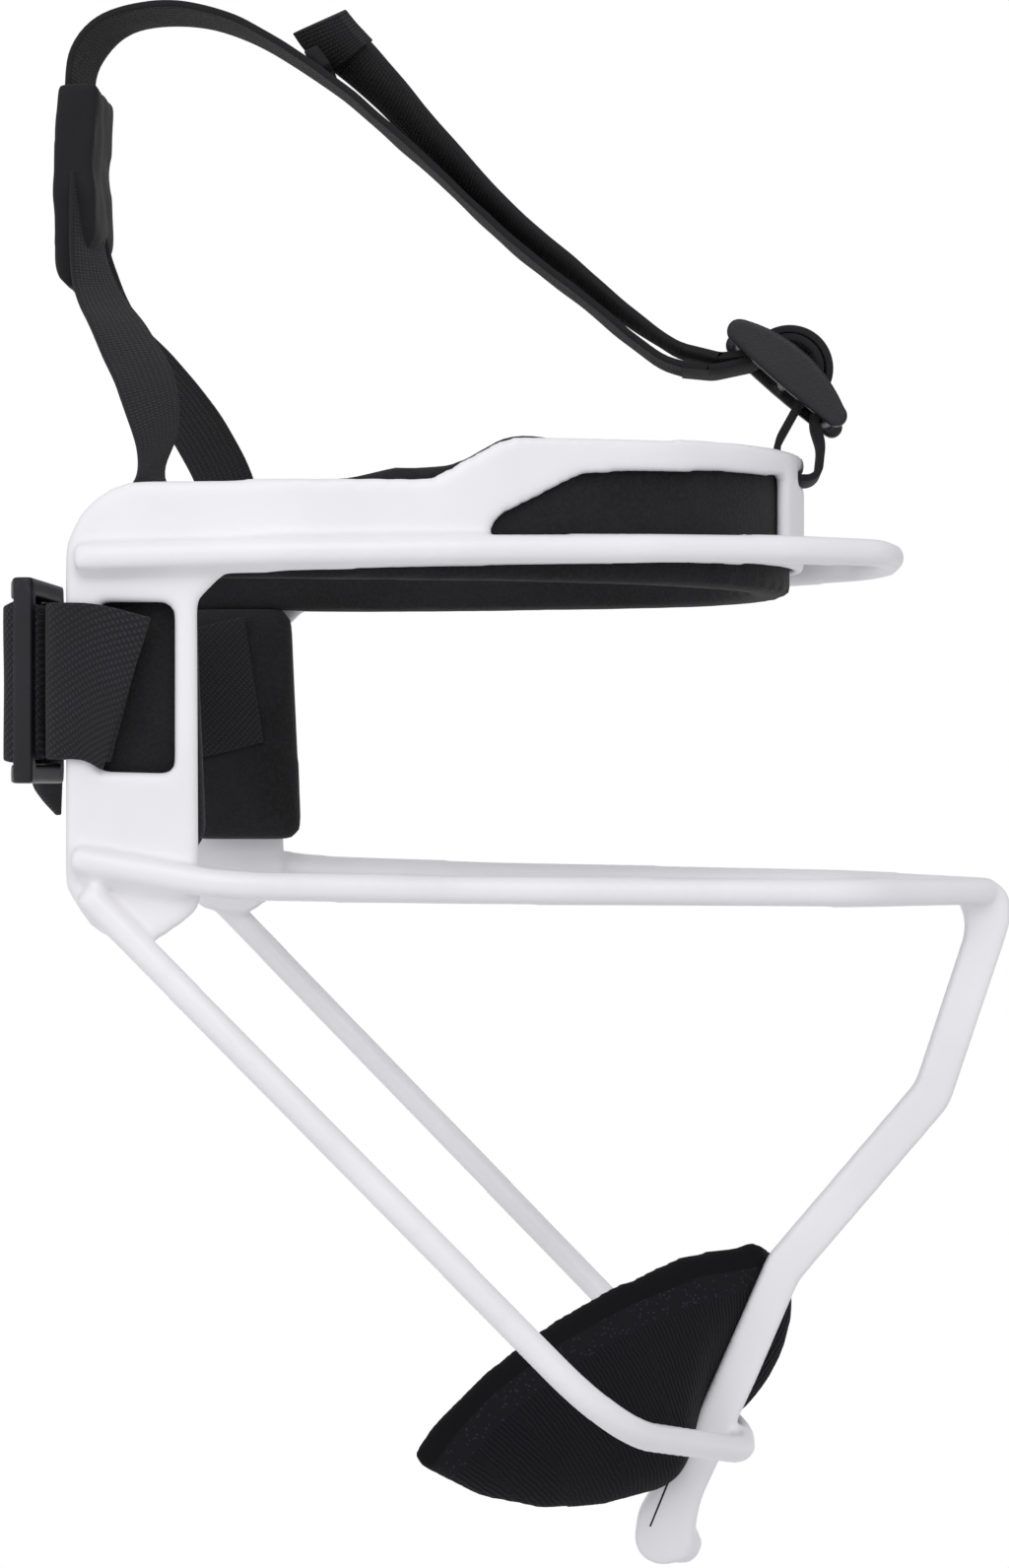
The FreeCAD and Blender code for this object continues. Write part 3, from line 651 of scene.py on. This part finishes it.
class GUARD_OT_top_webbing(bpy.types.Operator):
    """Makes the webbing over the head, its return run, sewn end and front loop"""
    bl_idname = "guard.top_webbing"
    bl_label = "Top webbing"

    def execute(self, context):
        thick = settings().webbing / MM
        line = [(-22.8, 100), (-23.6, 118), (-24.4, 136), (-23.2, 145.5), (-17.6, 152.2),
                (-8.0, 155.2), (3.0, 154.8), (13.0, 151.6), (24.0, 145.4), (38.1, 135.2),
                (47.1, 127.2), (56.4, 119.0), (65.7, 109.9), (74.9, 101.5), (84.1, 94.2),
                (91.7, 88.2), (102.4, 79.4), (108.0, 75.6), (113.4, 73.9)]
        run = [((x, 0, z), (1.3 - 0.1 * i if i < 9 else 0, 10, -0.3 if 5 < i < 9 else 0))
               for i, (x, z) in enumerate(line)]
        obj = strap(run, thick, rows=130, across=8, ripple=0.25, seed=2.0)
        place(obj, "top_webbing", finish("webbing"), "webbing", "top_strap")
        rows = [((113.8, 77.6), (0, 9.9, 0)), ((111.0, 78.6), (0, 10, 0)),
                ((106.8, 81.2), (0, 10, 0)), ((100.6, 85.5), (-0.3, 10, -0.3)),
                ((87.9, 95.9), (-0.8, 9.9, -0.8)), ((74.1, 107.0), (-1.3, 9.8, -1.2)),
                ((62.4, 118.7), (-1.8, 9.7, -1.6)), ((53.0, 128.9), (-2.2, 9.6, -1.8)),
                ((43.0, 140.0), (-3.2, 9.3, -1.8)), ((36.4, 146.2), (-5.2, 8.4, -1.2))]
        back = strap([((c[0], 0, c[1]), h) for c, h in rows], thick, rows=80, across=8,
                     ripple=0.25, seed=6.0)
        place(back, "top_webbing_return", finish("webbing"), "webbing", "top_strap_return")
        rows = [((30.0, 153.2), (6.0, -8.0, 0.4)), ((32.4, 150.0), (6.1, -8.0, 0.5)),
                ((34.9, 147.4), (5.6, -8.2, 0.9)), ((37.4, 145.0), (4.8, -8.6, 1.4))]
        tab = strap([((c[0], 0, c[1]), h) for c, h in rows], 2.8, rows=24, across=8)
        place(tab, "webbing_end_sewn", finish("webbing"), "webbing", "top_strap_tab")
        keeper = copy_node("strap_keeper")
        smooth(keeper, 50)
        place(keeper, "strap_keeper_sewn", finish("webbing"), "webbing", "strap_keeper")
        bight = copy_node("webbing_bight")
        modify(bight, "BEVEL", width=0.3 * MM, segments=2, limit_method="ANGLE",
               angle_limit=math.radians(60))
        smooth(bight, 50)
        place(bight, "webbing_loop", finish("webbing"), "webbing", "webbing_bight", body=None)
        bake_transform(bight)
        return {"FINISHED"}


class GUARD_OT_top_slider(bpy.types.Operator):
    """Rounds and paints the top slider"""
    bl_idname = "guard.top_slider"
    bl_label = "Top slider"

    def execute(self, context):
        obj = copy_node("top_slider")
        modify(obj, "REMESH", mode="VOXEL", voxel_size=0.45 * MM)
        modify(obj, "SMOOTH", factor=0.5, iterations=6)
        smooth(obj, 60)
        place(obj, "top_slider_moulded", finish("nylon"), "plastic", "top_slider",
              body="top_slider")
        return {"FINISHED"}


class GUARD_OT_stage(bpy.types.Operator):
    """Adds the floor, the light and the camera of the side view"""
    bl_idname = "guard.stage"
    bl_label = "Stage"

    def execute(self, context):
        scene = context.scene
        turn = math.radians(3.1)
        middle = Vector((72, 0, -19)) * MM
        back = Vector((math.sin(turn), -math.cos(turn), 0))
        deselect()
        bpy.ops.object.camera_add(location=middle + back * 0.769,
                                  rotation=(math.radians(90), 0, turn))
        camera = context.object
        camera.data.sensor_fit = "VERTICAL"
        camera.data.sensor_height = 36
        camera.data.lens = 78.4
        camera.data.clip_start = 0.01
        scene.camera = camera
        deselect()
        bpy.ops.mesh.primitive_plane_add(size=6, location=(0.07, 0, -0.26))
        floor = context.object
        floor.name = "studio_floor"
        material, tree, shader = blank("white_studio_floor")
        shader.inputs["Base Color"].default_value = linear("E6E6E8")
        shader.inputs["Roughness"].default_value = 0.9
        rays = add(tree, "ShaderNodeLightPath")
        seen = add(tree, "ShaderNodeMath", {0: rays.outputs["Is Camera Ray"],
                                            1: rays.outputs["Is Glossy Ray"]}, operation="MAXIMUM")
        glow = add(tree, "ShaderNodeEmission", Color=(1, 1, 1, 1), Strength=1.0)
        mix = add(tree, "ShaderNodeMixShader", {0: seen.outputs[0], 1: shader.outputs[0],
                                                2: glow.outputs[0]})
        tree.links.new(mix.outputs[0], tree.nodes["Material Output"].inputs[0])
        paint(floor, material)
        world = bpy.data.worlds.new("studio")
        scene.world = world
        world.use_nodes = True
        tree = world.node_tree
        tree.nodes.clear()
        rays = add(tree, "ShaderNodeLightPath")
        seen = add(tree, "ShaderNodeMath", {0: rays.outputs["Is Camera Ray"],
                                            1: rays.outputs["Is Transmission Ray"]},
                   operation="MAXIMUM")
        soft = add(tree, "ShaderNodeBackground", Color=(0.97, 0.97, 1.0, 1), Strength=0.62)
        white = add(tree, "ShaderNodeBackground", Color=(1, 1, 1, 1), Strength=1.0)
        mix = add(tree, "ShaderNodeMixShader", {0: seen.outputs[0], 1: soft.outputs[0],
                                                2: white.outputs[0]})
        output = add(tree, "ShaderNodeOutputWorld")
        tree.links.new(mix.outputs[0], output.inputs[0])
        for name, spot, size, power in (("key", (0.25, -1.3, 0.9), 1.2, 8.6),
                                        ("fill", (-0.9, -0.9, 0.2), 1.0, 2.4)):
            deselect()
            bpy.ops.object.light_add(type="AREA", location=spot)
            lamp = context.object
            lamp.name = name + "_light"
            lamp.data.size = size
            lamp.data.energy = power
            aim = Vector((0.07, 0, 0)) - Vector(spot)
            lamp.rotation_euler = aim.to_track_quat("-Z", "Y").to_euler()
        scene.view_settings.view_transform = "Standard"
        return {"FINISHED"}


class GUARD_PT_panel(bpy.types.Panel):
    """Lists the sizes, colours and pieces"""
    bl_idname = "GUARD_PT_panel"
    bl_label = "Face Guard"
    bl_space_type = "VIEW_3D"
    bl_region_type = "UI"
    bl_category = "Face Guard"

    def draw(self, context):
        for key in GuardSettings.__annotations__:
            self.layout.prop(context.scene.face_guard, key)
        for piece in PIECES:
            self.layout.operator(piece.bl_idname)


PIECES = (GUARD_OT_cage, GUARD_OT_pads, GUARD_OT_rear_elastic, GUARD_OT_rear_slider,
          GUARD_OT_crown, GUARD_OT_top_webbing, GUARD_OT_top_slider, GUARD_OT_stage)
CLASSES = (GuardSettings, *PIECES, GUARD_PT_panel)


def register():
    for cls in CLASSES:
        bpy.utils.register_class(cls)
    bpy.types.Scene.face_guard = bpy.props.PointerProperty(type=GuardSettings)


def unregister():
    del bpy.types.Scene.face_guard
    for cls in reversed(CLASSES):
        bpy.utils.unregister_class(cls)


def main():
    register()
    for piece in PIECES:
        group, _, call = piece.bl_idname.partition(".")
        getattr(getattr(bpy.ops, group), call)()


if __name__ == "__main__":
    main()
